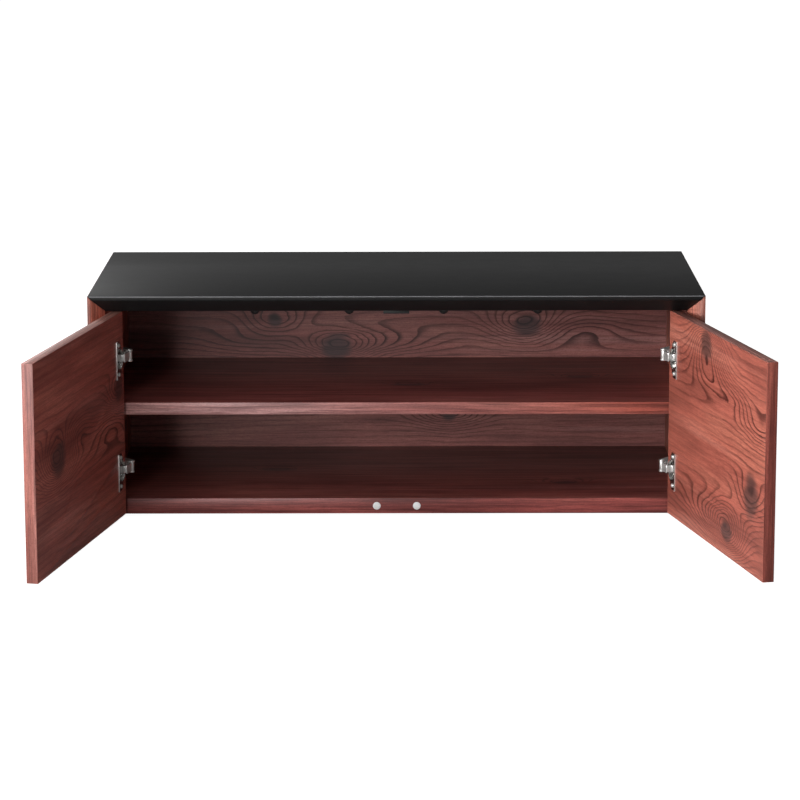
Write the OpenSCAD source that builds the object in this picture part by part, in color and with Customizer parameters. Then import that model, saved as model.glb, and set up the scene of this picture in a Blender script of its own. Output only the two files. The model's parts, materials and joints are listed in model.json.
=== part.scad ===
// Media cabinet with a bevelled frame, a black top and two doors on concealed hinges.
// Millimetres. The origin is on the floor, under the middle of the cabinet. +Y is the rear.
// The doors are drawn standing open. Their swing is worked out in the Hidden section.

/* [Cabinet] */
// Overall width across the side panels
cabinet_width = 1000; // [700:1:1400]
// Overall depth, front lip to rear edge
cabinet_depth = 475; // [400:1:600]
// Height from the underside of the side panels to the top surface
body_height = 370; // [320:1:520]
// Height of the floor glides
glide_height = 5; // [3:1:10]

/* [Panels] */
// Flat lip left at the very front of the top and side panels
front_lip = 7; // [4:0.5:10]
// Width of the 45 degree bevel behind the lip
front_bevel = 20; // [14:0.5:26]
// Thickness of the bottom panel
bottom_thickness = 26; // [18:0.5:30]
// Thickness of the fixed shelf
shelf_thickness = 20; // [15:0.5:25]
// Height of the shelf's underside over the underside of the cabinet
shelf_underside = 166.5; // [120:0.5:200]
// Distance from the front lip back to the shelf
shelf_setback = 42.5; // [40.5:0.5:80]
// Thickness of the back panel
back_thickness = 8; // [5:0.5:12]
// Distance from the rear edge in to the back panel's outer face
back_recess = 22; // [12:1:60]
// Depth of the grooves that hold the back panel
groove_depth = 6; // [4:0.5:8]

/* [Doors] */
// Thickness of a door
door_thickness = 18; // [18:0.5:20]
// Gap between a closed door and the side panel
door_side_gap = 3; // [3:0.1:4]
// Gap between the two closed doors
door_centre_gap = 3; // [2:0.5:5]
// Gap over a closed door
door_top_gap = 2; // [1.5:0.5:4]
// How far the doors stop short of the cabinet's underside
door_bottom_gap = 3; // [1:0.5:8]
// Chamfer on the front edge of the hinge side
door_chamfer = 2; // [2:0.25:3]
// Angle that the left door stands open
left_door_open = 101.5; // [95:0.5:104]
// Angle that the right door stands open
right_door_open = 103.3; // [95:0.1:104]

/* [Hinges] */
// Distance from a door's end to the middle of a hinge
hinge_end_distance = 76; // [50:1:110]
// Diameter of the cup bore in the door
cup_bore_diameter = 35; // [35:0.5:36]
// Wood left between the cup bore and the door's edge
cup_edge_distance = 3; // [3:0.1:3.4]
// Depth of the cup bore
cup_bore_depth = 13.6; // [13.4:0.1:14]
// Spacing of the two screws in a cup flange
cup_screw_spacing = 48; // [45:1:52]
// Height of a cup flange
cup_flange_height = 62; // [60:1:66]
// Height of a hinge link
link_height = 14; // [12:0.5:14]
// Height of the link's eye inside the cup
link_eye_height = 11; // [9:0.5:12]
// Height of a hinge arm
arm_height = 19.5; // [19:0.5:21]

/* [Fittings] */
// Spacing of the four domed screws under the top
dome_screw_spacing = 154; // [120:1:170]
// Diameter of a domed screw head
dome_diameter = 16; // [12:0.5:20]
// Distance of each door bumper from the middle
bumper_offset = 33; // [20:1:60]
// Diameter of a door bumper
bumper_diameter = 13; // [10:0.5:16]

/* [Hidden] */
$fn = 48;

wood_brown = "#8a4128";
wood_light = "#a8573a";
satin_black = "#1b1b1d";
nickel = "#b9bcc0";
steel = "#9a9da1";
white_rubber = "#f2f2ef";
pale_wood = "#c9a877";

// Overlap used where one solid is cut by another
cut = 1;
panel_thickness = front_lip + front_bevel;
front_y = -cabinet_depth / 2;
rear_y = cabinet_depth / 2;
base_z = glide_height;
top_z = base_z + body_height;
ceiling_z = top_z - panel_thickness;
floor_z = base_z + bottom_thickness;
inner_half = cabinet_width / 2 - panel_thickness;
back_front_y = rear_y - back_recess - back_thickness;
shelf_bottom_z = base_z + shelf_underside;

// Closed doors: distances back from the front lip, and heights
door_front = front_bevel;
door_back = door_front + door_thickness;
// Room for the bumpers between a closed door and the bottom panel
bumper_room = 2;
bottom_setback = door_back + bumper_room;
door_bottom_z = base_z + door_bottom_gap;
door_height = ceiling_z - door_top_gap - door_bottom_z;
door_width = inner_half - door_side_gap - door_centre_gap / 2;

// Hinge plan, for the left side: x runs in from the side panel's inner face and y runs back
// from the front lip. The door turns about the cup pin, and the link about the arm pin.
function turn(p, a) = [p.x * cos(a) - p.y * sin(a), p.x * sin(a) + p.y * cos(a)];
hinge_corner_closed = [door_side_gap, door_back];
hinge_corner_open = [27.5, front_lip + 22];
design_open = 102.35;
cup_pin_inset = 8;
cup_pin_depth = 5.5;
arm_pin_reach = 28;
corner_move = hinge_corner_open - turn(hinge_corner_closed, -design_open);
pole_scale = 2 * (1 - cos(design_open));
pole = [
    (corner_move.x * (1 - cos(design_open)) + corner_move.y * sin(design_open)) / pole_scale,
    (corner_move.y * (1 - cos(design_open)) - corner_move.x * sin(design_open)) / pole_scale
];
cup_pin_closed = hinge_corner_closed + [cup_pin_inset, -cup_pin_depth];
cup_pin_open = pole + turn(cup_pin_closed - pole, -design_open);
pin_chord = cup_pin_open - cup_pin_closed;
arm_pin = (cup_pin_closed + cup_pin_open) / 2
    + arm_pin_reach * [-pin_chord.y, pin_chord.x] / norm(pin_chord);
link_closed = cup_pin_closed - arm_pin;
link_open = cup_pin_open - arm_pin;
link_ratio = (atan2(link_open.y, link_open.x) - atan2(link_closed.y, link_closed.x) + 360) % 360
    / design_open;
// The cranked link's bend, from the arm pin, in the closed position
link_knee = [-17.2, -19];

pin_diameter = 3;
arm_pin_diameter = pin_diameter + 1;
running_fit = 0.05;
link_thickness = 3;
cup_eye_radius = 2.5;
// Around the cup's pin the link is no taller than its eye, so it clears the rim when wide open
eye_relief = 9.5;
cup_outer_radius = cup_bore_diameter / 2 - 0.05;
cup_wall = 1;
cup_inner_radius = cup_outer_radius - cup_wall;
cup_centre_inset = cup_edge_distance + cup_bore_diameter / 2;
cup_depth = cup_bore_depth - 0.1;
flange_thickness = 1.1;
cup_screw_inset = 6;
cup_screw_diameter = 3;
cup_screw_length = 10;
cup_screw_head_diameter = 7;
cup_screw_head_height = 1.4;
cross_slot_width = 0.8;
// The flange's plate from the cup's centre: near edge, corner cut, far edge and its folded rib
flange_near = -4;
flange_cut = 8;
flange_far = cup_outer_radius + 2;
flange_rib = 0.9;
flange_rib_width = 1.6;
plate_thickness = 3;
hinge_heights = [
    door_bottom_z + hinge_end_distance,
    door_bottom_z + door_height - hinge_end_distance
];

// Fastener sizes
dowel_diameter = 8;
dowel_length = 34;
dowel_reach = 2;
cam_diameter = 15;
cam_inset = 24;
cam_recess = 0.5;
cam_past_bolt = 5;
cam_socket_diameter = 5;
cam_socket_depth = 3;
cam_bolt_diameter = 6;
cam_neck_diameter = 4.5;
cam_shank_length = 14;
dowel_end_distance = 85;
cam_end_distance = 135;
rail_ys = [front_y + dowel_end_distance, rear_y - dowel_end_distance];
cam_ys = [front_y + cam_end_distance, rear_y - cam_end_distance];
spline_thickness = 4;
spline_width = 16;
spline_inset_part = 0.62;
spline_end_margin = 30;
bar_thickness = 4;
bar_width = 20;
bar_setback = 41;
bar_overhang = 30;
bar_y = front_y + bar_setback;
bar_length = 3 * dome_screw_spacing + 2 * bar_overhang;
dome_height = 7;
dome_xs = [for (i = [-1.5:1:1.5]) i * dome_screw_spacing];
dome_y = bar_y + bar_width / 2;
dome_screw_diameter = 4;
dome_screw_reach = 16;
glide_diameter = 22;
glide_edge = 1.5;
glide_stem_diameter = 4;
glide_stem_length = 10;
stop_width = 42;
stop_depth = 26;
stop_height = 8.5;
bumper_height = 1.7;
bumper_edge = 0.8;
bumper_chamfer = 1.6;
glide_front_distance = 75;
glide_rear_distance = 55;
glide_side_distance = 40;
// A glide near each corner, and one in the middle that keeps a loaded bottom from sagging
glide_positions = [
    [0, 0],
    for (x = [-1, 1], y = [front_y + glide_front_distance, rear_y - glide_rear_distance])
        [x * (inner_half - glide_side_distance), y]
];

// Fits: in the back panel's grooves, the spline slots, and the bores for dowels and screws
groove_play = 0.5;
groove_fit = 0.4;
slot_fit = 0.2;
bore_fit = 0.1;

// ---- Helpers ----

// The section of a panel with the bevelled front: x runs back, y runs in from the outer face
module bevelled_section() {
    polygon([
        [front_y, 0], [rear_y, 0], [rear_y, panel_thickness],
        [front_y + front_bevel, panel_thickness], [front_y, front_lip]
    ]);
}

// The space of the back panel, or with a fit added, of its groove
module back_space(fit = 0) {
    half = inner_half + groove_depth - groove_play + fit;
    low = floor_z - groove_depth + groove_play - fit;
    high = ceiling_z + groove_depth - groove_play + fit;
    translate([-half, back_front_y - fit / 2, low])
        cube([2 * half, back_thickness + fit, high - low]);
}

// A rod along X, centred on its position
module rod_x(d, length, at) {
    translate(at) rotate([0, 90, 0]) cylinder(d = d, h = length, center = true);
}

// Splines across both mitred corners, or their slots
module spline_pair(fit = 0) {
    inset = panel_thickness * spline_inset_part;
    run = cabinet_depth - 2 * front_bevel - 2 * spline_end_margin;
    for (side = [-1, 1])
        translate([side * (cabinet_width / 2 - inset), front_bevel / 2, top_z - inset])
            rotate([0, side * 45, 0])
                cube([spline_width + 2 * fit, run + 4 * fit, spline_thickness + fit], center = true);
}

// Dowels in the ends of the bottom panel and the shelf
module dowels(fit = 0) {
    for (side = [-1, 1], y = rail_ys) {
        rod_x(dowel_diameter + fit, dowel_length + 4 * fit,
            [side * (inner_half + dowel_reach), y, base_z + bottom_thickness / 2]);
        rod_x(dowel_diameter + fit, dowel_length + 4 * fit,
            [side * (inner_half + dowel_reach), y, shelf_bottom_z + shelf_thickness / 2]);
    }
}

// Cam bolts: a threaded shank in the side panel, and a neck and head that reach the cam
module cam_bolt_rods(fit = 0) {
    z = base_z + bottom_thickness / 2;
    for (side = [-1, 1], y = cam_ys) {
        rod_x(cam_bolt_diameter + fit, cam_shank_length,
            [side * (inner_half + (cam_shank_length - cut) / 2), y, z]);
        rod_x(cam_neck_diameter + fit, cam_inset, [side * (inner_half - cam_inset / 2), y, z]);
    }
}

module cam_bores() {
    for (side = [-1, 1], y = cam_ys)
        translate([side * (inner_half - cam_inset), y, base_z - cut])
            cylinder(d = cam_diameter + slot_fit, h = bottom_thickness / 2 + cam_past_bolt + 2 * cut);
}

// A straight bar between two points, with round ends
module round_bar(p, q, w) {
    d = q - p;
    translate(p) {
        rotate(atan2(d.y, d.x)) translate([0, -w / 2]) square([norm(d), w]);
        circle(d = w);
    }
    translate(q) circle(d = w);
}

// Puts a left-side plan drawing in place on the left or mirrored on the right
module on_side(side) {
    mirror([side > 0 ? 1 : 0, 0, 0]) translate([-inner_half, front_y, 0]) children();
}

// From a closed door's plan to the open one
module swing(angle) {
    tip = arm_pin + turn(link_closed, link_ratio * angle);
    translate([tip.x, tip.y, 0]) rotate(-angle)
        translate([-cup_pin_closed.x, -cup_pin_closed.y, 0]) children();
}

// From the closed link to the open one
module swing_link(angle) {
    translate([arm_pin.x, arm_pin.y, 0]) rotate(link_ratio * angle) children();
}

module at_hinges() {
    for (z = hinge_heights) translate([0, 0, z]) children();
}

function open_angle(side) = side > 0 ? right_door_open : left_door_open;

// ---- Carcass ----

module top_panel() {
    color(satin_black) difference() {
        intersection() {
            translate([-cabinet_width, 0, top_z]) rotate([90, 0, 90])
                mirror([0, 1, 0]) linear_extrude(2 * cabinet_width) bevelled_section();
            translate([0, cabinet_depth, 0]) rotate([90, 0, 0])
                linear_extrude(2 * cabinet_depth) polygon([
                    [-cabinet_width / 2, top_z], [cabinet_width / 2, top_z],
                    [inner_half, ceiling_z], [-inner_half, ceiling_z]
                ]);
        }
        back_space(groove_fit);
        spline_pair(slot_fit);
        for (x = dome_xs) translate([x, dome_y, ceiling_z - cut])
            cylinder(d = dome_screw_diameter + bore_fit, h = dome_screw_reach + 2 + cut);
    }
}

module side_panel(side) {
    color(wood_brown) difference() {
        intersection() {
            mirror([side > 0 ? 1 : 0, 0, 0]) translate([-cabinet_width / 2, 0, base_z])
                linear_extrude(body_height) rotate(90) mirror([0, 1]) bevelled_section();
            translate([0, cabinet_depth, 0]) rotate([90, 0, 0])
                linear_extrude(2 * cabinet_depth) polygon([
                    [side * cabinet_width / 2, base_z], [side * inner_half, base_z],
                    [side * inner_half, ceiling_z], [side * cabinet_width / 2, top_z]
                ]);
        }
        back_space(groove_fit);
        spline_pair(slot_fit);
        dowels(bore_fit);
        cam_bolt_rods(bore_fit);
        on_side(side) at_hinges() plate_screw_rods(bore_fit);
    }
}
module side_panel_left() { side_panel(-1); }
module side_panel_right() { side_panel(1); }

module bottom_panel() {
    y0 = front_y + bottom_setback;
    color(wood_light) difference() {
        translate([-inner_half, y0, base_z])
            cube([2 * inner_half, rear_y - y0, bottom_thickness]);
        back_space(groove_fit);
        dowels(bore_fit);
        cam_bolt_rods(1);
        cam_bores();
        for (p = glide_positions) translate([p.x, p.y, base_z - cut])
            cylinder(d = glide_stem_diameter + bore_fit, h = glide_stem_length + 2 + cut);
    }
}

module back_panel() {
    color(wood_brown) back_space();
}

module shelf() {
    y0 = front_y + shelf_setback;
    color(wood_light) difference() {
        translate([-inner_half, y0, shelf_bottom_z])
            cube([2 * inner_half, back_front_y - 1 - y0, shelf_thickness]);
        dowels(bore_fit);
    }
}

module mitre_splines() {
    color(pale_wood) spline_pair();
}

module panel_dowels() {
    color(pale_wood) dowels();
}

module cam_bolts() {
    color(steel) cam_bolt_rods();
}

module cam_locks() {
    color(steel) for (side = [-1, 1], y = cam_ys)
        translate([side * (inner_half - cam_inset), y, base_z + cam_recess]) difference() {
            cylinder(d = cam_diameter, h = bottom_thickness / 2 + cam_past_bolt);
            translate([0, 0, -cut])
                cylinder(d = cam_socket_diameter, h = cut + cam_socket_depth, $fn = 6);
            translate([side * cam_diameter / 2, 0, bottom_thickness / 2 - cam_recess])
                rotate([0, 90, 0]) cylinder(d = cam_bolt_diameter, h = cam_diameter, center = true);
        }
}

module floor_glides() {
    pad = glide_diameter / 2;
    stem = glide_stem_diameter / 2;
    tip = glide_height + glide_stem_length;
    color(satin_black) for (p = glide_positions) translate([p.x, p.y, 0])
        rotate_extrude() polygon([
            [0, 0], [pad - glide_edge, 0], [pad, glide_edge], [pad, glide_height],
            [stem, glide_height], [stem, tip], [0, tip]
        ]);
}

// ---- Fittings under the top and at the door line ----

module stiffener_bar() {
    color(satin_black) difference() {
        translate([-bar_length / 2, bar_y, ceiling_z - bar_thickness])
            cube([bar_length, bar_width, bar_thickness]);
        for (x = dome_xs) translate([x, dome_y, ceiling_z - bar_thickness - cut])
            cylinder(d = dome_screw_diameter + slot_fit, h = bar_thickness + 2 * cut);
    }
}

module domed_screws() {
    r = dome_diameter / 2;
    sphere_r = (r * r + dome_height * dome_height) / (2 * dome_height);
    color(satin_black) for (x = dome_xs)
        translate([x, dome_y, ceiling_z - bar_thickness]) {
            cylinder(d = dome_screw_diameter, h = bar_thickness + dome_screw_reach);
            intersection() {
                translate([0, 0, sphere_r - dome_height]) sphere(r = sphere_r);
                translate([0, 0, -dome_height - cut]) cylinder(r = dome_diameter, h = dome_height + cut);
            }
        }
}

module door_stop() {
    color(satin_black) difference() {
        translate([-stop_width / 2, front_y + door_back + 1, ceiling_z - stop_height])
            cube([stop_width, stop_depth, stop_height]);
        translate([-bar_length / 2, bar_y, ceiling_z - bar_thickness])
            cube([bar_length, bar_width, bar_thickness + cut]);
    }
}

module door_bumpers() {
    color(white_rubber) for (side = [-1, 1])
        translate([side * bumper_offset, front_y + bottom_setback, base_z + bottom_thickness / 2])
            rotate([90, 0, 0]) rotate_extrude() polygon([
                [0, 0], [bumper_diameter / 2, 0], [bumper_diameter / 2, bumper_edge],
                [bumper_diameter / 2 - bumper_chamfer, bumper_height], [0, bumper_height]
            ]);
}

// ---- Concealed hinges ----

arm_seat = plate_thickness + 0.05;
arm_rear = 112;
arm_depth = 11;
plate_front = 62;
plate_height = 18;
plate_wing_height = 46;
plate_wing_width = 20;
plate_screw_y = plate_front + 20;
plate_screw_zs = [-16, 16];
plate_screw_diameter = 3.6;
plate_screw_length = 15;
clamp_diameter = 5;
clamp_head_diameter = 9;
clamp_y = arm_rear - 12;

// Wood screws through a mounting plate, running out into the side panel
module plate_screw_rods(fit = 0) {
    for (z = plate_screw_zs) translate([plate_thickness - 1 - plate_screw_length, plate_screw_y, z])
        rotate([0, 90, 0]) cylinder(d = plate_screw_diameter + fit, h = plate_screw_length);
}

module mounting_plate() {
    difference() {
        union() {
            translate([0, plate_front, -plate_height / 2])
                cube([plate_thickness, arm_rear - plate_front, plate_height]);
            translate([0, plate_screw_y - plate_wing_width / 2, -plate_wing_height / 2])
                cube([plate_thickness, plate_wing_width, plate_wing_height]);
        }
        plate_screw_rods(0.2);
        for (z = plate_screw_zs) translate([plate_thickness - 1, plate_screw_y, z])
            rotate([0, 90, 0]) cylinder(d = 8, h = 2);
        rod_x(clamp_diameter + 0.1, 20, [plate_thickness, clamp_y, 0]);
    }
}
module mounting_plates(side) {
    color(nickel) on_side(side) at_hinges() mounting_plate();
}
module mounting_plates_left() { mounting_plates(-1); }
module mounting_plates_right() { mounting_plates(1); }

// The arm's plan: a long seat on the mounting plate and a tip that reaches the arm pin
module arm_cheek() {
    reach = arm_pin.x;
    polygon([
        [arm_seat, arm_rear], [arm_seat, plate_front], [arm_seat + 6, plate_front - 9],
        [reach - 5, arm_pin.y - 3.5], [reach, arm_pin.y - 5], [reach + 4.4, arm_pin.y - 2.4],
        [reach + 4.6, arm_pin.y + 3], [reach - 6, arm_pin.y + 17],
        [arm_seat + arm_depth, plate_front + 14], [arm_seat + arm_depth, arm_rear]
    ]);
    translate(arm_pin) circle(r = 5);
}

// The web that joins the cheeks, along the inboard edge, behind the link
module arm_web() {
    translate([arm_seat, plate_front + 1]) square([arm_depth, arm_rear - plate_front - 1]);
    polygon([
        [arm_seat, plate_front + 2], [arm_seat + 8, plate_front - 3], [arm_pin.x - 8, arm_pin.y + 12],
        [arm_pin.x - 4, arm_pin.y + 14.3], [arm_seat + arm_depth, plate_front + 14]
    ]);
}

module hinge_arm() {
    cheek = (arm_height - link_height) / 2 - 0.3;
    difference() {
        union() {
            for (z = [-arm_height / 2, arm_height / 2 - cheek])
                translate([0, 0, z]) linear_extrude(cheek) arm_cheek();
            translate([0, 0, -arm_height / 2]) linear_extrude(arm_height) arm_web();
        }
        translate([arm_pin.x, arm_pin.y, -arm_height])
            cylinder(d = arm_pin_diameter + 0.02, h = 2 * arm_height);
        rod_x(clamp_diameter + 0.1, 40, [0, clamp_y, 0]);
        rod_x(clamp_head_diameter + 0.2, 20, [arm_seat + 20, clamp_y, 0]);
    }
}
module hinge_arms(side) {
    color(nickel) on_side(side) at_hinges() hinge_arm();
}
module hinge_arms_left() { hinge_arms(-1); }
module hinge_arms_right() { hinge_arms(1); }

module arm_pins(side) {
    color(steel) on_side(side) at_hinges() translate([arm_pin.x, arm_pin.y, 0])
        cylinder(d = arm_pin_diameter, h = arm_height - 0.2, center = true);
}
module arm_pins_left() { arm_pins(-1); }
module arm_pins_right() { arm_pins(1); }

// Countersunk wood screws through the mounting plates, four to a side
module plate_screws() {
    color(nickel) for (side = [-1, 1]) on_side(side) at_hinges() {
        plate_screw_rods();
        for (z = plate_screw_zs) translate([plate_thickness - 1, plate_screw_y, z])
            rotate([0, 90, 0]) cylinder(d1 = 7, d2 = 7.6, h = 1);
    }
}

// The screw that clamps each arm to its plate
module clamp_screws() {
    color(nickel) for (side = [-1, 1]) on_side(side) at_hinges()
        translate([0.2, clamp_y, 0]) rotate([0, 90, 0]) difference() {
            union() {
                cylinder(d = clamp_diameter, h = arm_seat + 10.5);
                translate([0, 0, arm_seat + 9.9]) cylinder(d = clamp_head_diameter, h = 1.8);
            }
            for (a = [0, 90]) rotate(a) translate([-2.5, -0.5, arm_seat + 10.7]) cube([5, 1, 2]);
        }
}

module outer_link() {
    difference() {
        linear_extrude(link_height, center = true) {
            round_bar([0, 0], link_knee, link_thickness);
            round_bar(link_knee, link_closed, link_thickness);
            circle(r = 4.2);
            translate(link_closed) circle(r = cup_eye_radius);
        }
        for (z = [link_eye_height / 2, -link_eye_height / 2 - link_height])
            translate([link_closed.x, link_closed.y, z]) cylinder(r = eye_relief, h = link_height);
        cylinder(d = arm_pin_diameter + 2 * running_fit, h = 2 * link_height, center = true);
        translate([link_closed.x, link_closed.y, 0])
            cylinder(d = pin_diameter + 2 * running_fit, h = 2 * link_height, center = true);
    }
}
module outer_links(side) {
    color(nickel) on_side(side) at_hinges() swing_link(open_angle(side)) outer_link();
}
module outer_links_left() { outer_links(-1); }
module outer_links_right() { outer_links(1); }

// ---- Doors ----

module door_board() {
    x0 = door_side_gap;
    translate([0, 0, door_bottom_z]) linear_extrude(door_height) polygon([
        [x0, door_back], [x0, door_front + door_chamfer], [x0 + door_chamfer, door_front],
        [x0 + door_width, door_front], [x0 + door_width, door_back]
    ]);
}

// Places a drawing on a closed door's back face: x along the door, y up, z into the wood
module on_door_back() {
    translate([door_side_gap, door_back, 0]) rotate([90, 0, 0]) children();
}

module door(side) {
    color(wood_brown) on_side(side) swing(open_angle(side)) difference() {
        door_board();
        at_hinges() on_door_back() {
            translate([cup_centre_inset, 0, -cut])
                cylinder(d = cup_bore_diameter, h = cup_bore_depth + cut);
            for (y = [-0.5, 0.5])
                translate([cup_centre_inset + cup_screw_inset, y * cup_screw_spacing, -cut])
                    cylinder(d = cup_screw_diameter + bore_fit, h = cup_screw_length + 1 + cut);
        }
    }
}
module door_left() { door(-1); }
module door_right() { door(1); }

// The flange's plate, with a long straight far edge and cut corners by the hinge side
module flange_plate() {
    half = cup_flange_height / 2;
    polygon([
        [flange_near, flange_cut - half], [flange_near + flange_cut, -half], [flange_far, -half],
        [flange_far, half], [flange_near + flange_cut, half], [flange_near, half - flange_cut]
    ]);
}

// The pressed cup: a can in the bore, a flange on the door's back and two ears for the pin
module hinge_cup() {
    ear_inner = link_eye_height / 2 + 0.4;
    on_door_back() difference() {
        union() {
            translate([cup_centre_inset, 0, 0]) cylinder(r = cup_outer_radius, h = cup_depth);
            translate([cup_centre_inset, 0, -flange_thickness]) linear_extrude(flange_thickness) {
                circle(r = cup_outer_radius + 0.5);
                flange_plate();
            }
            translate([cup_centre_inset + flange_far - flange_rib_width, -cup_flange_height / 2,
                -flange_thickness - flange_rib])
                cube([flange_rib_width, cup_flange_height, flange_thickness + flange_rib]);
        }
        difference() {
            translate([cup_centre_inset, 0, -flange_thickness - cut])
                cylinder(r = cup_inner_radius, h = flange_thickness + cut + cup_depth - cup_wall);
            for (y = [-ear_inner - 2, ear_inner])
                translate([0, y, cup_pin_depth - 3]) cube([cup_pin_inset + 3, 2, cup_depth]);
        }
        translate([cup_pin_inset, 0, cup_pin_depth]) rotate([90, 0, 0])
            cylinder(d = pin_diameter + 0.04, h = 2 * ear_inner + 4.6, center = true);
        for (y = [-0.5, 0.5])
            translate([cup_centre_inset + cup_screw_inset, y * cup_screw_spacing, 0])
                translate([0, 0, -flange_thickness - cut])
                    cylinder(d = cup_screw_diameter + 0.4, h = flange_thickness + 2 * cut);
    }
}
module hinge_cups(side) {
    color(nickel) on_side(side) swing(open_angle(side)) at_hinges() hinge_cup();
}
module hinge_cups_left() { hinge_cups(-1); }
module hinge_cups_right() { hinge_cups(1); }

module cup_pins(side) {
    length = link_eye_height + 4.6;
    color(steel) on_side(side) swing(open_angle(side)) at_hinges() on_door_back()
        translate([cup_pin_inset, 0, cup_pin_depth]) rotate([90, 0, 0])
            cylinder(d = pin_diameter, h = length, center = true);
}
module cup_pins_left() { cup_pins(-1); }
module cup_pins_right() { cup_pins(1); }

module cup_screws(side) {
    color(nickel) on_side(side) swing(open_angle(side)) at_hinges() on_door_back()
        for (y = [-0.5, 0.5])
            translate([cup_centre_inset + cup_screw_inset, y * cup_screw_spacing, 0]) difference() {
                union() {
                    translate([0, 0, -flange_thickness])
                        cylinder(d = cup_screw_diameter, h = flange_thickness + cup_screw_length);
                    translate([0, 0, -flange_thickness - cup_screw_head_height])
                        cylinder(d1 = 5.4, d2 = cup_screw_head_diameter, h = cup_screw_head_height);
                }
                for (a = [0, 90]) rotate(a)
                    translate([-2, -cross_slot_width / 2, -flange_thickness - 2.2])
                        cube([4, cross_slot_width, 1.5]);
            }
}
module cup_screws_left() { cup_screws(-1); }
module cup_screws_right() { cup_screws(1); }

top_panel();
side_panel_left();
side_panel_right();
bottom_panel();
back_panel();
shelf();
mitre_splines();
panel_dowels();
cam_bolts();
cam_locks();
floor_glides();
stiffener_bar();
domed_screws();
door_stop();
door_bumpers();
mounting_plates_left();
mounting_plates_right();
hinge_arms_left();
hinge_arms_right();
arm_pins_left();
arm_pins_right();
plate_screws();
clamp_screws();
outer_links_left();
outer_links_right();
door_left();
door_right();
hinge_cups_left();
hinge_cups_right();
cup_pins_left();
cup_pins_right();
cup_screws_left();
cup_screws_right();
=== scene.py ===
"""Looks of a media cabinet with a bevelled frame, a black top and two doors on concealed hinges.

The boards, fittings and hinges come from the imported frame. This file softens their edges, gives
them their timber, lacquer and metal, and sets up the stage.
"""

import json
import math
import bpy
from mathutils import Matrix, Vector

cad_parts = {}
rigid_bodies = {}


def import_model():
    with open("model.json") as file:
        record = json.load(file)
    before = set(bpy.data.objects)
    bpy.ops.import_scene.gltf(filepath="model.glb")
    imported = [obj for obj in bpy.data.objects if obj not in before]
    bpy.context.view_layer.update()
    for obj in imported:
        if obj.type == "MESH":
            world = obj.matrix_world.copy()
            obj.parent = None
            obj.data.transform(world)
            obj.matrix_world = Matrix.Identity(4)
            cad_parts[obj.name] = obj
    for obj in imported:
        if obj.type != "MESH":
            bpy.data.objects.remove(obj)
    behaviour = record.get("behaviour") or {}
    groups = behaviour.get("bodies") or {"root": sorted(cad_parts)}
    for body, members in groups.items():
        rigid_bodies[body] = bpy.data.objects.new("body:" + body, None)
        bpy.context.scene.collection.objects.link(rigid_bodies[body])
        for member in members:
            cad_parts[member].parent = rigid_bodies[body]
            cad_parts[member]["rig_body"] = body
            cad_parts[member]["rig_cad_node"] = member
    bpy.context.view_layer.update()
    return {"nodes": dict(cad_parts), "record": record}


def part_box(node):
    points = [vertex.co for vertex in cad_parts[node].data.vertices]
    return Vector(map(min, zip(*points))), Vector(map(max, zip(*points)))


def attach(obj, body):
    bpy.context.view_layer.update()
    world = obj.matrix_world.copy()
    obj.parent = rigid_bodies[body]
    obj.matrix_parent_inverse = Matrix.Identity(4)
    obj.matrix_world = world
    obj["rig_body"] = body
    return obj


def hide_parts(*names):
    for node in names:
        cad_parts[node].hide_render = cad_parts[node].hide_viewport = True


bl_info = {
    "name": "Media Cabinet Looks",
    "version": (1, 0, 0),
    "blender": (4, 5, 0),
    "location": "View3D > Sidebar > Cabinet",
    "description": "Timber, lacquer, metal and stage for a media cabinet",
    "category": "Object",
}

import bpy
from bpy.props import FloatProperty, FloatVectorProperty, PointerProperty
from bpy.types import Operator, Panel, PropertyGroup
from mathutils import Matrix, Vector

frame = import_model()
RECORD = frame["record"]
X = Vector((1, 0, 0))
Y = Vector((0, 1, 0))
Z = Vector((0, 0, 1))


# ---- Settings ----


class TimberSettings(PropertyGroup):
    """Colours and figure of the knotty red-brown boards"""

    light: FloatVectorProperty(
        name="Early wood", description="Colour of the wide pale rings", subtype="COLOR",
        size=3, min=0, max=1, default=(0.62, 0.165, 0.105),
    )
    dark: FloatVectorProperty(
        name="Late wood", description="Colour of the thin dark rings", subtype="COLOR",
        size=3, min=0, max=1, default=(0.1, 0.018, 0.013),
    )
    heart: FloatVectorProperty(
        name="Knot", description="Colour at the heart of a knot", subtype="COLOR",
        size=3, min=0, max=1, default=(0.085, 0.038, 0.03),
    )
    ring_spacing: FloatProperty(
        name="Ring spacing", description="Distance between growth rings", subtype="DISTANCE",
        unit="LENGTH", default=0.0115, min=0.002, max=0.03,
    )


class LacquerSettings(PropertyGroup):
    """The black top, fittings and metals"""

    black: FloatVectorProperty(
        name="Black", description="Colour of the top's lacquer", subtype="COLOR",
        size=3, min=0, max=1, default=(0.006, 0.006, 0.0063),
    )
    nickel: FloatVectorProperty(
        name="Nickel", description="Colour of the hinges", subtype="COLOR",
        size=3, min=0, max=1, default=(0.74, 0.73, 0.71),
    )


class EdgeSettings(PropertyGroup):
    """How far the sawn edges are eased"""

    board: FloatProperty(
        name="Board edge", description="Width of the eased edge of a board",
        subtype="DISTANCE", unit="LENGTH", default=0.0006, min=0.0002, max=0.003,
    )
    # The top's eased front edge carries a painted highlight
    top: FloatProperty(
        name="Top's edge", description="Width of the eased, worn edge of the black top",
        subtype="DISTANCE", unit="LENGTH", default=0.0014, min=0.0002, max=0.003,
    )
    metal: FloatProperty(
        name="Metal edge", description="Width of the rounded edge of a pressed part",
        subtype="DISTANCE", unit="LENGTH", default=0.0003, min=0.0001, max=0.001,
    )


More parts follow.
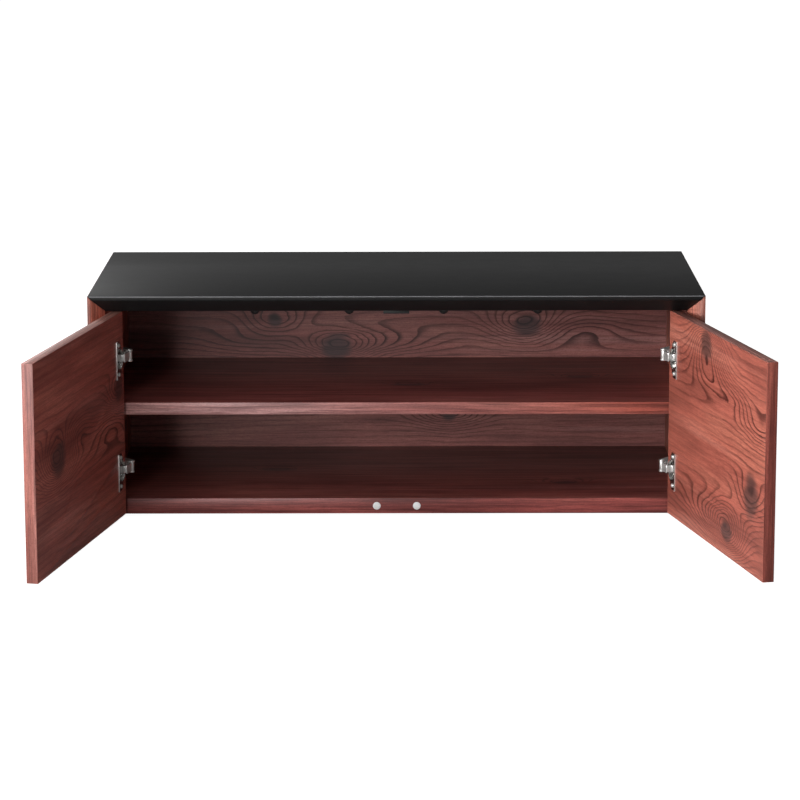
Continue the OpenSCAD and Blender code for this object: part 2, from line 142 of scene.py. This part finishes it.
class StageSettings(PropertyGroup):
    """The camera's lens, place and turn"""

    lens: FloatProperty(
        name="Lens", description="Focal length on a 36 mm sensor", default=144.7, min=20, max=300
    )
    camera: FloatVectorProperty(
        name="Camera", description="Place of the camera", subtype="TRANSLATION",
        unit="LENGTH", size=3, default=(0.0227, -5.3631, 1.2355),
    )
    tilt: FloatProperty(
        name="Tilt", description="How far the camera looks down", subtype="ANGLE",
        unit="ROTATION", default=0.1986,
    )
    pan: FloatProperty(
        name="Pan", description="How far the camera turns to the left", subtype="ANGLE",
        unit="ROTATION", default=0.0033,
    )
    roll: FloatProperty(
        name="Roll", description="Turn of the camera about its own view", subtype="ANGLE",
        unit="ROTATION", default=-0.0021,
    )


# ---- Small helpers ----


def settings():
    return bpy.context.scene.cabinet


def deselect():
    bpy.ops.object.select_all(action="DESELECT")


def middle(node):
    low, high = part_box(node)
    return (low + high) / 2


def door_swing(side):
    """Unit vectors along an open door, from its hinges to its free edge, and out of its back."""
    record = RECORD["behaviour"]
    pivot = next(j for j in record["joints"] if j["name"] == f"{side}_door_pivot")
    ratio = next(c["ratio"] for c in record["couplings"] if c["follows"] == pivot["name"])
    closed = max(pivot["range_deg"], key=abs)
    angle = math.radians(abs(closed)) * (1 + ratio)
    sign = 1 if side == "left" else -1
    along = Vector((sign * math.cos(angle), -math.sin(angle), 0))
    back = Vector((sign * math.sin(angle), math.cos(angle), 0))
    return along, back


class Tree:
    """A short hand for building a material's nodes."""

    def __init__(self, name):
        self.material = bpy.data.materials.new(name)
        self.material.use_nodes = True
        self.nodes = self.material.node_tree.nodes
        self.links = self.material.node_tree.links
        self.shader = self.nodes["Principled BSDF"]
        self.place = self.nodes.new("ShaderNodeTexCoord").outputs["Object"]

    def put(self, socket, value):
        if isinstance(value, bpy.types.NodeSocket):
            self.links.new(value, socket)
        else:
            socket.default_value = value

    def math(self, operation, a, b=0.0, c=0.0, clamp=False):
        node = self.nodes.new("ShaderNodeMath")
        node.operation = operation
        node.use_clamp = clamp
        for socket, value in zip(node.inputs, (a, b, c)):
            self.put(socket, value)
        return node.outputs[0]

    def squares(self, a, b):
        return self.math("MULTIPLY_ADD", a, a, self.math("MULTIPLY", b, b))

    def dot(self, vector, direction):
        node = self.nodes.new("ShaderNodeVectorMath")
        node.operation = "DOT_PRODUCT"
        self.put(node.inputs[0], vector)
        self.put(node.inputs[1], direction)
        return node.outputs["Value"]

    def subtract(self, vector, offset):
        node = self.nodes.new("ShaderNodeVectorMath")
        node.operation = "SUBTRACT"
        self.put(node.inputs[0], vector)
        self.put(node.inputs[1], offset)
        return node.outputs["Vector"]

    def vector(self, x, y, z):
        node = self.nodes.new("ShaderNodeCombineXYZ")
        for socket, value in zip(node.inputs, (x, y, z)):
            self.put(socket, value)
        return node.outputs[0]

    def noise(self, vector, scale, detail=2.0, roughness=0.5, distortion=0.0):
        node = self.nodes.new("ShaderNodeTexNoise")
        self.put(node.inputs["Vector"], vector)
        self.put(node.inputs["Scale"], scale)
        self.put(node.inputs["Detail"], detail)
        self.put(node.inputs["Roughness"], roughness)
        self.put(node.inputs["Distortion"], distortion)
        return node.outputs["Fac"]

    def remap(self, value, low, high, to_low=0.0, to_high=1.0, smooth=False):
        node = self.nodes.new("ShaderNodeMapRange")
        node.interpolation_type = "SMOOTHSTEP" if smooth else "LINEAR"
        for key, number in (("Value", value), ("From Min", low), ("From Max", high),
                            ("To Min", to_low), ("To Max", to_high)):
            self.put(node.inputs[key], number)
        return node.outputs["Result"]

    def ramp(self, value, stops):
        node = self.nodes.new("ShaderNodeValToRGB")
        self.put(node.inputs[0], value)
        elements = node.color_ramp.elements
        while len(elements) < len(stops):
            elements.new(0.5)
        for element, (place, colour) in zip(elements, stops):
            element.position = place
            element.color = (*colour, 1)
        return node.outputs[0]

    def mix(self, factor, a, b, blend="MIX"):
        node = self.nodes.new("ShaderNodeMix")
        node.data_type = "RGBA"
        node.blend_type = blend
        self.put(node.inputs[0], factor)
        for socket, value in ((node.inputs[6], a), (node.inputs[7], b)):
            self.put(socket, value if isinstance(value, bpy.types.NodeSocket) else (*value, 1))
        return node.outputs[2]

    def bump(self, height, distance, strength=1.0):
        node = self.nodes.new("ShaderNodeBump")
        node.inputs["Strength"].default_value = strength
        node.inputs["Distance"].default_value = distance
        self.put(node.inputs["Height"], height)
        self.put(self.shader.inputs["Normal"], node.outputs[0])

    def set(self, **values):
        for key, value in values.items():
            socket = self.shader.inputs[key.replace("_", " ").title().replace("Ior", "IOR")]
            if not isinstance(value, bpy.types.NodeSocket) and socket.type == "RGBA":
                value = (*value, 1)
            self.put(socket, value)


# ---- Timber ----

# How often each figure changes in a metre: along the grain, and across it
DRIFT = (1.6, 5.0)
WOBBLE = (13.0, 60.0)
SHIVER = (90.0, 150.0)
CLOUD = (2.6, 12.0)
STREAK = (5.0, 130.0)
GLEAM = (1.5, 45.0)
VEIN = (9.0, 420.0)
PORE = (70.0, 1300.0)
SPECK = (420.0, 900.0)

# How much longer than high a knot bends the rings, with a dark heart and without one
KNOT_STRETCH = 2.0
FLAME_STRETCH = 3.4

# The palest that a tinted board may be
PALEST = 0.72


class Board:
    """A board's own directions, measured from its centre along the grain, up and through it."""

    def __init__(self, tree, centre, along, across, seed):
        self.tree = tree
        self.seed = seed
        place = tree.subtract(tree.place, tuple(centre))
        self.run = tree.dot(place, tuple(along))
        self.rise = tree.dot(place, tuple(across))
        self.deep = tree.dot(place, tuple(Vector(along).cross(Vector(across))))

    def figure(self, rate, offset, detail, roughness):
        """Noise drawn out along the grain"""
        tree = self.tree
        length, height = rate
        place = tree.vector(tree.math("MULTIPLY", self.run, length),
                            tree.math("MULTIPLY", self.rise, height),
                            tree.math("MULTIPLY_ADD", self.deep, height, self.seed + offset))
        return tree.noise(place, 1.0, detail, roughness)

    def sway(self, rate, offset, roughness):
        """The same, to either side of nothing"""
        return self.tree.math("SUBTRACT", self.figure(rate, offset, 2.0, roughness), 0.5)


def growth_rings(board, knots, figure):
    """Dark ring lines bent round the knots, and how far each spot lies in a knot's heart"""
    tree = board.tree
    drift = board.sway(DRIFT, 0.0, 0.45)
    wobble = board.sway(WOBBLE, 3.1, 0.5)
    shiver = board.sway(SHIVER, 5.0, 0.5)
    field = tree.math("DIVIDE", tree.math("MULTIPLY_ADD", board.deep, 0.55, board.rise),
                      settings().timber.ring_spacing)
    for bend, rings in ((drift, 7.0), (wobble, 0.8), (shiver, 0.16)):
        field = tree.math("MULTIPLY_ADD", bend, rings, field)

    near = tree.math("MULTIPLY_ADD", drift, 0.8, figure)
    heart = 0.0
    for x, y, core_length, core_height, reach, pull in knots:
        dx = tree.math("MULTIPLY_ADD", drift, 0.03, tree.math("SUBTRACT", board.run, x))
        dy = tree.math("MULTIPLY_ADD", wobble, 0.012, tree.math("SUBTRACT", board.rise, y))
        stretch = KNOT_STRETCH if core_length else FLAME_STRETCH
        far = tree.squares(tree.math("DIVIDE", dx, reach * stretch),
                           tree.math("DIVIDE", dy, reach))
        swell = tree.math("EXPONENT", tree.math("MULTIPLY", far, -0.5))
        field = tree.math("MULTIPLY_ADD", swell, pull, field)
        halo = tree.math("EXPONENT", tree.math("MULTIPLY", far, -0.12))
        near = tree.math("MAXIMUM", near, halo)
        if core_length:
            core = tree.squares(tree.math("DIVIDE", dx, core_length),
                                tree.math("DIVIDE", dy, core_height))
            core = tree.math("MULTIPLY_ADD", wobble, 1.6, core)
            heart = tree.math("MAXIMUM", heart, tree.remap(core, 1.7, 0.3, smooth=True))

    ring = tree.math("FRACT", field)
    line = tree.math("MULTIPLY", tree.remap(ring, 0.45, 0.92, smooth=True),
                     tree.remap(ring, 0.95, 1.0, 1.0, 0.0))
    line = tree.math("POWER", line, 1.6)
    line = tree.math("MULTIPLY", line, tree.math("MINIMUM", near, 1.0, clamp=True))
    return line, heart


def timber(name, centre, along, across, knots=(), tone=(1, 1, 1), figure=0.16, seed=0.0,
           comb=1.0, painted_end_shade=None):
    """Knotty timber with its grain along one way of a board.

    A knot is (along, across, core length, core height, reach, pull): its place from the board's
    centre, the half sizes of its dark core, how far it bends the rings across the grain, and by
    how many rings. A core of no length bends the rings into a long flame with no dark heart.
    Figure is how strong the ring lines are away from the knots, comb the strength of the fine
    dark streaks, and the last argument a tint multiplied in toward the far end, a painted shade.
    """
    wood = settings().timber
    tree = Tree(name)
    board = Board(tree, centre, along, across, seed)
    line, heart = growth_rings(board, knots, figure)
    streak = board.figure(STREAK, 9.0, 3.0, 0.6)
    pore = board.figure(PORE, 0.0, 2.0, 0.6)

    light = [min(c * t, PALEST) for c, t in zip(wood.light, tone)]
    late = [c * t for c, t in zip(wood.dark, tone)]
    pale = [light[0] * 1.35, light[1] * 1.8, light[2] * 1.9]
    body = tree.ramp(board.figure(CLOUD, 7.0, 3.0, 0.55), [
        (0.34, [c * 0.6 for c in light]),
        (0.5, light),
        (0.66, [light[0] * 1.22, light[1] * 1.4, light[2] * 1.36]),
    ])
    gleam = board.figure(GLEAM, 12.0, 2.0, 0.5)
    body = tree.mix(tree.remap(gleam, 0.55, 0.72, 0.0, 0.7), body, pale)
    for mark, low, high, strength in (
        (streak, 0.42, 0.68, 0.55 * comb),
        (board.figure(VEIN, 15.0, 3.0, 0.65), 0.46, 0.68, 0.7 * comb),
        (pore, 0.46, 0.72, 0.45),
        (board.figure(SPECK, 1.0, 2.0, 0.6), 0.48, 0.72, 0.4),
    ):
        body = tree.mix(tree.remap(mark, low, high, 0.0, strength), body, late)
    # Painted shade: the tint is multiplied in toward the board's far end
    if painted_end_shade:
        body = tree.mix(tree.remap(board.run, -0.4, 0.4), body, painted_end_shade, "MULTIPLY")
    body = tree.mix(tree.math("MULTIPLY", line, 0.97), body, [c * 0.6 for c in late])
    if any(core_length for _, _, core_length, _, _, _ in knots):
        dusk = [c * t for c, t in zip(wood.heart, tone)]
        core = tree.mix(line, [c * 1.5 for c in dusk], [c * 0.6 for c in dusk])
        core = tree.mix(tree.remap(streak, 0.35, 0.7), core, [c * 0.7 for c in dusk])
        body = tree.mix(tree.math("MULTIPLY", heart, 0.85), body, core)

    tree.set(base_color=body, specular_ior_level=0.4, coat_weight=0.1, coat_roughness=0.35)
    tree.set(roughness=tree.remap(streak, 0.3, 0.8, 0.38, 0.52))
    relief = tree.math("SUBTRACT", tree.math("MULTIPLY", pore, -0.5),
                       tree.math("MULTIPLY", line, 0.5))
    tree.bump(relief, 0.00012, 0.7)
    return tree.material


# ---- Lacquer, metal and plastic ----


def black_lacquer(name, highlighted):
    """Satin black, made paler by the given factor, which on the top's eased front edge is a
    painted highlight
    """
    tree = Tree(name)
    fine = tree.noise(tree.place, 900.0, 3.0, 0.6)
    hand = tree.noise(tree.place, 24.0, 3.0, 0.5)
    # The factor pales the black: a painted highlight on the top's front edge
    black = [c * highlighted for c in settings().lacquer.black]
    tree.set(base_color=tree.mix(tree.remap(hand, 0.3, 0.7), black, [c * 1.25 for c in black]))
    tree.set(roughness=tree.remap(hand, 0.3, 0.7, 0.38, 0.41), specular_ior_level=0.32)
    tree.bump(fine, 0.00004, 0.35)
    return tree.material


def black_powder_coat():
    tree = Tree("black_powder_coat")
    grain = tree.noise(tree.place, 1400.0, 2.0, 0.5)
    tree.set(base_color=tree.mix(grain, (0.007, 0.007, 0.007), (0.015, 0.015, 0.015)))
    tree.set(roughness=tree.remap(grain, 0.3, 0.7, 0.38, 0.55))
    tree.bump(grain, 0.00006, 0.5)
    return tree.material


def black_plastic():
    tree = Tree("moulded_black_plastic")
    grain = tree.noise(tree.place, 700.0, 2.0, 0.5)
    tree.set(base_color=tree.mix(grain, (0.006, 0.006, 0.006), (0.012, 0.012, 0.012)))
    tree.set(roughness=tree.remap(grain, 0.3, 0.7, 0.45, 0.6))
    tree.bump(grain, 0.00008, 0.5)
    return tree.material


def nickel_plate(name, rough, dull=0.0):
    """Bright plating over steel, less like a mirror the higher rough and dull are"""
    tree = Tree(name)
    brushed = tree.noise(tree.place, 260.0, 3.0, 0.6)
    smudge = tree.noise(tree.place, 60.0, 3.0, 0.6)
    nickel = settings().lacquer.nickel
    rubbed = [c * 0.88 for c in nickel]
    tree.set(base_color=tree.mix(tree.remap(smudge, 0.35, 0.7), nickel, rubbed))
    tree.set(metallic=1.0 - dull, roughness=tree.remap(brushed, 0.3, 0.7, rough, rough + 0.12))
    tree.bump(smudge, 0.00002, 0.3)
    return tree.material


def zinc_steel():
    tree = Tree("zinc_steel")
    spangle = tree.noise(tree.place, 400.0, 2.0, 0.6)
    tree.set(base_color=tree.mix(spangle, (0.48, 0.49, 0.5), (0.62, 0.62, 0.6)))
    tree.set(metallic=1.0, roughness=tree.remap(spangle, 0.3, 0.7, 0.28, 0.45))
    tree.bump(spangle, 0.00003, 0.4)
    return tree.material


def white_bumper_rubber():
    tree = Tree("white_bumper_rubber")
    soft = tree.noise(tree.place, 500.0, 2.0, 0.5)
    tree.set(base_color=tree.mix(soft, (0.92, 0.92, 0.91), (0.97, 0.97, 0.96)))
    tree.set(roughness=tree.remap(soft, 0.3, 0.7, 0.42, 0.55), subsurface_weight=0.05)
    tree.bump(soft, 0.00004, 0.4)
    return tree.material


def pale_beech():
    tree = Tree("pale_beech")
    flecks = tree.vector(tree.dot(tree.place, (60, 0, 0)), tree.dot(tree.place, (0, 60, 0)),
                         tree.dot(tree.place, (0, 0, 500)))
    ray = tree.noise(flecks, 2.0, 3.0, 0.6)
    tree.set(base_color=tree.ramp(ray, [(0.3, (0.5, 0.33, 0.18)), (0.7, (0.66, 0.47, 0.28))]))
    tree.set(roughness=tree.remap(ray, 0.3, 0.7, 0.5, 0.65))
    tree.bump(ray, 0.0001, 0.4)
    return tree.material


# ---- Softened copies of frame pieces ----

# Edges of a board that are shorter than this belong to its bores
BOARD_EDGE = 0.005


def softened(node, name, width, materials, choose=None, segments=2, shortest=0.0):
    """Copies a frame node, eases its edges and gives it materials. Stands for the node.

    Edges shorter than shortest, such as the rims of small bores, stay sharp.
    """
    deselect()
    source = frame["nodes"][node]
    source.hide_set(False)
    source.select_set(True)
    bpy.context.view_layer.objects.active = source
    bpy.ops.object.duplicate()
    piece = bpy.context.view_layer.objects.active
    piece.name = name
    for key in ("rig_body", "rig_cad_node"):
        if key in piece:
            del piece[key]
    bpy.ops.object.mode_set(mode="EDIT")
    bpy.ops.mesh.select_all(action="SELECT")
    bpy.ops.mesh.remove_doubles(threshold=0.00001)
    bpy.ops.mesh.dissolve_limited(angle_limit=math.radians(0.5))
    bpy.ops.mesh.select_mode(type="EDGE")
    bpy.ops.mesh.select_all(action="DESELECT")
    bpy.ops.mesh.edges_select_sharp(sharpness=math.radians(35))
    bpy.ops.object.mode_set(mode="OBJECT")
    points = piece.data.vertices
    for edge in piece.data.edges:
        start, end = (points[i].co for i in edge.vertices)
        edge.select = edge.select and (end - start).length >= shortest
    bpy.ops.object.mode_set(mode="EDIT")
    bpy.ops.mesh.bevel(offset=width, segments=segments, affect="EDGES", clamp_overlap=True)
    bpy.ops.object.mode_set(mode="OBJECT")
    bpy.ops.object.shade_smooth_by_angle(angle=math.radians(30))
    piece.data.materials.clear()
    for material in materials:
        piece.data.materials.append(material)
    if choose:
        for face in piece.data.polygons:
            face.material_index = choose(face)
    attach(piece, next(b for b, nodes in RECORD["behaviour"]["bodies"].items() if node in nodes))
    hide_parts(node)
    return piece


def dress(node, material):
    """Gives a frame node its finish."""
    mesh = frame["nodes"][node].data
    mesh.materials.clear()
    mesh.materials.append(material)


# ---- Operators ----


class CABINET_OT_top(Operator):
    """Black lacquered top with eased edges and a painted highlight along its front one, and the
    black fittings under it
    """

    bl_idname = "cabinet.top"
    bl_label = "Top and its fittings"

    def execute(self, context):
        def choose(face):
            return 1 if face.normal.z > 0.2 and face.normal.y < -0.2 else 0

        # The eased faces along the top's front edge get a black 26 times paler, a painted
        # highlight
        softened("top_panel", "black_top", context.scene.cabinet.edges.top,
                 [black_lacquer("satin_black_lacquer", 1.0),
                  black_lacquer("painted_highlight_black_edge", 26.0)],
                 choose, 3, BOARD_EDGE)
        powder = black_powder_coat()
        plastic = black_plastic()
        dress("stiffener_bar", powder)
        dress("domed_screws", powder)
        softened("door_stop", "stop_block", 0.0006, [plastic])
        dress("floor_glides", plastic)
        return {"FINISHED"}


class CABINET_OT_carcass(Operator):
    """Side, bottom and back panels and the shelf, in knotty timber"""

    bl_idname = "cabinet.carcass"
    bl_label = "Carcass"

    def execute(self, context):
        edge = context.scene.cabinet.edges.board

        def front_face(face):
            return 1 if face.normal.y < -0.8 else 0

        for side, seed, tone in (
            ("left", 1.0, (1, 1, 1)),
            ("right", 5.0, (0.86, 0.97, 1.03)),
        ):
            node = f"side_panel_{side}"
            wood = timber(f"{side}_side_timber", middle(node), Z, Y, tone=tone, seed=seed, knots=[
                (0.07, -0.06, 0.012, 0.02, 0.025, 7.0), (-0.1, 0.12, 0.012, 0.018, 0.022, -6.0)])
            softened(node, f"{side}_side", edge, [wood], shortest=BOARD_EDGE)
        back = timber("back_timber", middle("back_panel"), X, Z, tone=(0.62, 0.82, 1.12), seed=2.0,
                      figure=0.22, comb=0.6, knots=[
                          (-0.108, 0.022, 0.026, 0.022, 0.022, 9.0),
                          (-0.215, 0.07, 0.013, 0.013, 0.018, 5.0),
                          (-0.24, 0.03, 0, 0, 0.02, 3.5),
                          (-0.02, 0.03, 0, 0, 0.018, 3.0),
                          (0.225, 0.06, 0.025, 0.02, 0.022, 8.0),
                          (0.31, 0.05, 0, 0, 0.02, -3.0),
                          (0.09, -0.1, 0.014, 0.012, 0.02, 6.0)])
        dress("back_panel", back)
        # The shelf's and the bottom's tops take darker tones: painted shade under the black top
        for node, name, tone, seed, knots in (
            ("shelf", "shelf_board", (0.6, 0.58, 0.8), 4.0, [
                (0.02, -0.05, 0.03, 0.01, 0.016, 4.0), (0.31, 0.02, 0.025, 0.012, 0.016, 5.0)]),
            ("bottom_panel", "bottom_board", (0.44, 0.45, 0.6), 8.0, [
                (-0.2, 0.0, 0.03, 0.01, 0.014, 4.0), (0.28, -0.1, 0.022, 0.012, 0.016, 5.0)]),
        ):
            wood = timber(f"{node}_timber", middle(node), X, Y, tone=tone, seed=seed, knots=knots)
            # The front edges take their own tones: the shelf's paler and pinker, a painted
            # highlight, the bottom's darker, painted shade
            painted_light_lip = timber(f"{node}_edge", middle(node), X, Z, seed=seed + 20, figure=0.3,
                         tone=(1.16, 2.0, 2.9) if node == "shelf" else (0.72, 0.66, 0.9),
                         # The shelf's edge also darkens toward its right end, painted shade
                         painted_end_shade=(0.55, 0.27, 0.21) if node == "shelf" else None)
            softened(node, name, edge, [wood, painted_light_lip], front_face, shortest=BOARD_EDGE)
        beech = pale_beech()
        for node in ("mitre_splines", "panel_dowels"):
            dress(node, beech)
        return {"FINISHED"}


class CABINET_OT_doors(Operator):
    """Both doors, with the grain along their width, banded end edges and a painted highlight on
    their top and bottom edges
    """

    bl_idname = "cabinet.doors"
    bl_label = "Doors"

    KNOTS = {
        "left": [(0.119, 0.0, 0.034, 0.027, 0.028, 12.0), (0.03, 0.012, 0, 0, 0.018, -4.0),
                 (-0.2, 0.046, 0.02, 0.02, 0.02, 6.0), (-0.16, -0.01, 0, 0, 0.02, -4.5)],
        "right": [(-0.046, 0.144, 0.027, 0.024, 0.026, -10.0), (-0.02, 0.1, 0, 0, 0.021, -4.5),
                  (0.09, 0.08, 0, 0, 0.016, -3.0), (0.21, 0.06, 0, 0, 0.02, 3.0),
                  (0.063, -0.128, 0.024, 0.019, 0.028, 12.0), (-0.05, -0.12, 0, 0, 0.02, 3.5),
                  (0.17, -0.05, 0.03, 0.034, 0.024, 4.0)],
    }

    def execute(self, context):
        edge = context.scene.cabinet.edges.board
        for side, tone, band_tone, seed in (
            ("left", (0.82, 0.78, 0.92), (0.82, 1.05, 1.3), 11.0),
            ("right", (0.79, 0.81, 0.87), (0.62, 0.55, 0.62), 14.0),
        ):
            along, back = door_swing(side)
            node = f"door_{side}"
            wood = timber(f"{side}_door_timber", middle(node), along, Z, tone=tone, seed=seed,
                          knots=self.KNOTS[side], comb=0.5)
            band = timber(f"{side}_door_band", middle(node), Z, back, tone=band_tone,
                          seed=seed + 1)
            # The top and bottom edges take a much paler tone: a painted highlight where light
            # catches them
            painted_highlight_rail = timber(f"{side}_door_painted_highlight_rail", middle(node), along, back,
                          tone=(1.3, 1.8, 2.3), seed=seed + 2)

            def choose(face, along=along):
                if abs(face.normal.z) > 0.8:
                    return 2
                return 1 if abs(face.normal.dot(along)) > 0.8 else 0

            softened(node, f"{side}_door", edge, [wood, band, painted_highlight_rail], choose,
                     shortest=BOARD_EDGE)
        return {"FINISHED"}


class CABINET_OT_hinges(Operator):
    """Nickel plated cups, links, arms and plates, with their pins and screws"""

    bl_idname = "cabinet.hinges"
    bl_label = "Hinges"

    def execute(self, context):
        polished = nickel_plate("polished_nickel", 0.06)
        satin = nickel_plate("satin_nickel", 0.34, 0.25)
        steel = zinc_steel()
        width = context.scene.cabinet.edges.metal
        for side in ("left", "right"):
            along, back = door_swing(side)
            centre = middle(f"hinge_cups_{side}")

            def choose(face, along=along, centre=centre):
                rim = (face.center - centre).dot(along) > 0.0145
                return 1 if rim and face.normal.dot(along) > 0.3 else 0

            softened(f"hinge_cups_{side}", f"{side}_hinge_cups", width, [polished, satin],
                     choose)
            for node in ("outer_links", "hinge_arms", "mounting_plates"):
                softened(f"{node}_{side}", f"{side}_{node}", width, [satin])
            for node in ("arm_pins", "cup_pins"):
                dress(f"{node}_{side}", steel)
            dress(f"cup_screws_{side}", satin)
        for node in ("plate_screws", "clamp_screws"):
            dress(node, satin)
        for node in ("cam_bolts", "cam_locks"):
            dress(node, steel)
        return {"FINISHED"}


class CABINET_OT_bumpers(Operator):
    """Soft white bumpers on the bottom panel's front edge"""

    bl_idname = "cabinet.bumpers"
    bl_label = "Door bumpers"

    def execute(self, context):
        softened("door_bumpers", "white_bumpers", 0.0004, [white_bumper_rubber()])
        return {"FINISHED"}


class CABINET_OT_stage(Operator):
    """Camera, soft lights and a plain pale floor"""

    bl_idname = "cabinet.stage"
    bl_label = "Stage"

    # Name, place, watts, size in metres, the spot it faces and its spread in degrees: a large
    # front light, a narrow one for the right door, and one behind that glides over the top
    LAMPS = (
        ("front", (-1.9, -5.1, 1.4), 175, 2.0, (0, 0, 0.2), 180),
        ("side", (-2.6, -2.0, 0.9), 4.2, 0.6, (0.66, -0.6, 0.18), 34),
        ("over", (-1.8, 2.6, 1.45), 30, 1.0, (-0.4, 0, 0.37), 180),
    )
    FLOOR_SIZE = 60
    FLOOR_GLOW = 0.96
    SOFT_LIGHT = 0.16

    def execute(self, context):
        stage = context.scene.cabinet.stage
        deselect()
        bpy.ops.object.camera_add(location=stage.camera)
        camera = context.object
        camera.data.lens = stage.lens
        camera.data.sensor_width = 36
        turn = (Matrix.Rotation(stage.pan, 3, "Z")
                @ Matrix.Rotation(math.pi / 2 - stage.tilt, 3, "X")
                @ Matrix.Rotation(stage.roll, 3, "Z"))
        camera.rotation_euler = turn.to_euler()
        camera.data.clip_end = 200
        context.scene.camera = camera

        bpy.ops.mesh.primitive_plane_add(size=self.FLOOR_SIZE, location=(0, 0, 0))
        floor = context.object
        floor.name = "floor"
        tree = Tree("pale_floor")
        speck = tree.noise(tree.place, 3.0, 2.0, 0.5)
        tree.set(base_color=tree.mix(speck, (0.5, 0.5, 0.5), (0.54, 0.54, 0.54)), roughness=0.9)
        tree.set(emission_color=(1, 1, 1), specular_ior_level=0.1)
        seen = tree.nodes.new("ShaderNodeLightPath").outputs["Is Camera Ray"]
        tree.set(emission_strength=tree.math("MULTIPLY", seen, self.FLOOR_GLOW))
        floor.data.materials.append(tree.material)

        world = bpy.data.worlds.new("studio")
        context.scene.world = world
        world.use_nodes = True
        nodes, links = world.node_tree.nodes, world.node_tree.links
        soft = nodes["Background"]
        soft.inputs["Color"].default_value = (1, 1, 1, 1)
        soft.inputs["Strength"].default_value = self.SOFT_LIGHT
        bright = nodes.new("ShaderNodeBackground")
        bright.inputs["Color"].default_value = (1, 1, 1, 1)
        bright.inputs["Strength"].default_value = 1.0
        ray = nodes.new("ShaderNodeLightPath")
        pick = nodes.new("ShaderNodeMixShader")
        links.new(ray.outputs["Is Camera Ray"], pick.inputs[0])
        links.new(soft.outputs[0], pick.inputs[1])
        links.new(bright.outputs[0], pick.inputs[2])
        links.new(pick.outputs[0], nodes["World Output"].inputs["Surface"])

        for lamp in self.LAMPS:
            self.add_lamp(*lamp)
        context.scene.view_settings.view_transform = "Standard"
        return {"FINISHED"}

    def add_lamp(self, name, place, power, size, target, spread):
        bpy.ops.object.light_add(type="AREA", location=place)
        lamp = bpy.context.object
        lamp.name = name
        lamp.data.energy = power
        lamp.data.size = size
        lamp.data.spread = math.radians(spread)
        lamp.rotation_euler = (Vector(place) - Vector(target)).to_track_quat("Z", "Y").to_euler()


class CABINET_PT_panel(Panel):
    """Lists the cabinet's sizes, colours and pieces"""

    bl_idname = "CABINET_PT_panel"
    bl_label = "Media cabinet"
    bl_space_type = "VIEW_3D"
    bl_region_type = "UI"
    bl_category = "Cabinet"

    def draw(self, context):
        cabinet = context.scene.cabinet
        for group in (cabinet.timber, cabinet.lacquer, cabinet.edges, cabinet.stage):
            box = self.layout.box()
            for key in group.bl_rna.properties.keys():
                if key not in ("rna_type", "name"):
                    box.prop(group, key)
        for operator in OPERATORS:
            self.layout.operator(operator.bl_idname)


class CabinetSettings(PropertyGroup):
    """Every setting of the cabinet's looks"""

    timber: PointerProperty(type=TimberSettings)
    lacquer: PointerProperty(type=LacquerSettings)
    edges: PointerProperty(type=EdgeSettings)
    stage: PointerProperty(type=StageSettings)


OPERATORS = (CABINET_OT_stage, CABINET_OT_top, CABINET_OT_carcass, CABINET_OT_doors,
             CABINET_OT_hinges, CABINET_OT_bumpers)
CLASSES = (TimberSettings, LacquerSettings, EdgeSettings, StageSettings, CabinetSettings,
           *OPERATORS, CABINET_PT_panel)


def register():
    for cls in CLASSES:
        bpy.utils.register_class(cls)
    bpy.types.Scene.cabinet = PointerProperty(type=CabinetSettings)


def unregister():
    del bpy.types.Scene.cabinet
    for cls in reversed(CLASSES):
        bpy.utils.unregister_class(cls)


def main():
    register()
    for operator in OPERATORS:
        group, name = operator.bl_idname.split(".")
        getattr(getattr(bpy.ops, group), name)()


if __name__ == "__main__":
    main()
